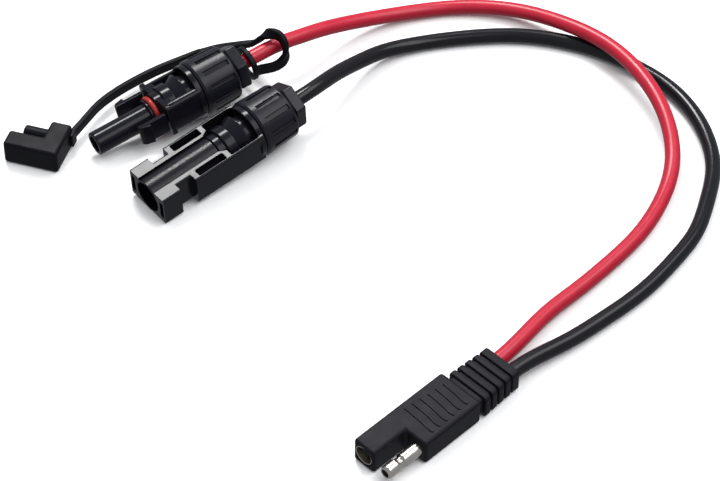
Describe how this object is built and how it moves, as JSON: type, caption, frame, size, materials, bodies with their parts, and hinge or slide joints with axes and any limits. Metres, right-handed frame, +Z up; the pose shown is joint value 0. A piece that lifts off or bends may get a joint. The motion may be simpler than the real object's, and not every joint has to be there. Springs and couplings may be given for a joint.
{
  "type": "solar cable connector",
  "caption": "Lead adapter: a socket and a pin photovoltaic connector on two short leads, joined to one flat two-pole plug with a tethered dust cap.",
  "frame": {"origin": "on the surface the adapter lies on, under the middle of its rigid pieces; the two free leads are not counted", "axes": "+Z up from the surface; +Y from the flat plug towards the two photovoltaic connectors, the longest extent of the rigid pieces; +X towards the side the leads bow out to; +Z the shortest extent"},
  "size_m": [0.2417, 0.2171, 0.0215],
  "materials": {
    "housing": "moulded black, semi-gloss",
    "gland_nut": "moulded black, satin",
    "overmould": "flexible overmould, satin",
    "rubber": "soft moulded rubber",
    "o_ring": "red silicone",
    "cable_seal": "soft rubber bush",
    "collet": "moulded",
    "red_insulation": "smooth insulation",
    "black_insulation": "smooth insulation",
    "tinned_contact": "tin plated",
    "nickel_plate": "nickel plated, bright",
    "copper": "bare stranded copper"
  },
  "bodies": {
    "adapter": {"socket_housing": "housing", "socket_o_ring": "o_ring", "pin_housing": "housing", "plug_body": "overmould", "plug_bullet_pin": "nickel_plate", "plug_socket_sleeve": "nickel_plate", "plug_red_conductor": "copper", "plug_black_conductor": "copper", "socket_contact": "tinned_contact", "socket_contact_clip": "tinned_contact", "socket_conductor": "copper", "pin_contact": "tinned_contact", "pin_contact_clip": "tinned_contact", "pin_conductor": "copper", "red_lead": "red_insulation", "black_lead": "black_insulation"},
    "latch_left": {"latch_finger_left": "housing"},
    "latch_right": {"latch_finger_right": "housing"},
    "socket_gland_insert": {"socket_cable_seal": "cable_seal", "socket_clamping_collet": "collet"},
    "socket_nut": {"socket_gland_nut": "gland_nut"},
    "pin_gland_insert": {"pin_cable_seal": "cable_seal", "pin_clamping_collet": "collet"},
    "pin_nut": {"pin_gland_nut": "gland_nut"},
    "tether_ring": {"tether_eyelet": "rubber"},
    "tether": {"cap_tether": "rubber"},
    "cap": {"dust_cap": "rubber"}
  },
  "joints": [
    {"name": "latch_left_flex", "type": "hinge", "parent": "adapter", "child": "latch_left", "pos_m": [-0.03812, 0.06666, 0.00735], "axis": [-0.1896, 0.1048, 0.9762], "range_deg": [0, 8], "stiffness_Nm_per_rad": 0.2},
    {"name": "latch_right_flex", "type": "hinge", "parent": "adapter", "child": "latch_right", "pos_m": [-0.02987, 0.05412, 0.0103], "axis": [0.1896, -0.1048, -0.9762], "range_deg": [0, 8], "stiffness_Nm_per_rad": 0.2},
    {"name": "socket_gland_travel", "type": "slide", "parent": "adapter", "child": "socket_gland_insert", "axis": [0.8202, 0.5635, 0.0988], "range_m": [0, 0.0045]},
    {"name": "socket_nut_turn", "type": "hinge", "parent": "socket_gland_insert", "child": "socket_nut", "pos_m": [-0.01382, 0.07425, 0.01125], "axis": [0.8202, 0.5635, 0.0988], "range_deg": [0, 1080]},
    {"name": "pin_gland_travel", "type": "slide", "parent": "adapter", "child": "pin_gland_insert", "axis": [0.7675, 0.6347, 0.0899], "range_m": [0, 0.0045]},
    {"name": "pin_nut_turn", "type": "hinge", "parent": "pin_gland_insert", "child": "pin_nut", "pos_m": [0.00545, 0.05515, 0.01122], "axis": [0.7675, 0.6347, 0.0899], "range_deg": [0, 1080]},
    {"name": "tether_ring_travel", "type": "slide", "parent": "adapter", "child": "tether_ring", "axis": [0.8202, 0.5635, 0.0988], "range_m": [0, 0.0045]},
    {"name": "tether_lift", "type": "hinge", "parent": "tether_ring", "child": "tether", "pos_m": [-0.00398, 0.08101, 0.01244], "axis": [0.8202, 0.5635, 0.0988], "range_deg": [0, 55]},
    {"name": "cap_swing", "type": "hinge", "parent": "tether", "child": "cap", "pos_m": [-0.06178, 0.05458, 0.0042], "axis": [0, 0, 1], "range_deg": [-15, 20]}
  ],
  "couplings": [
    {"joint": "socket_nut_turn", "follows": "socket_gland_travel", "rad_per_m": 4188.8},
    {"joint": "pin_nut_turn", "follows": "pin_gland_travel", "rad_per_m": 4188.8},
    {"joint": "tether_ring_travel", "follows": "socket_gland_travel", "ratio": 1}
  ]
}
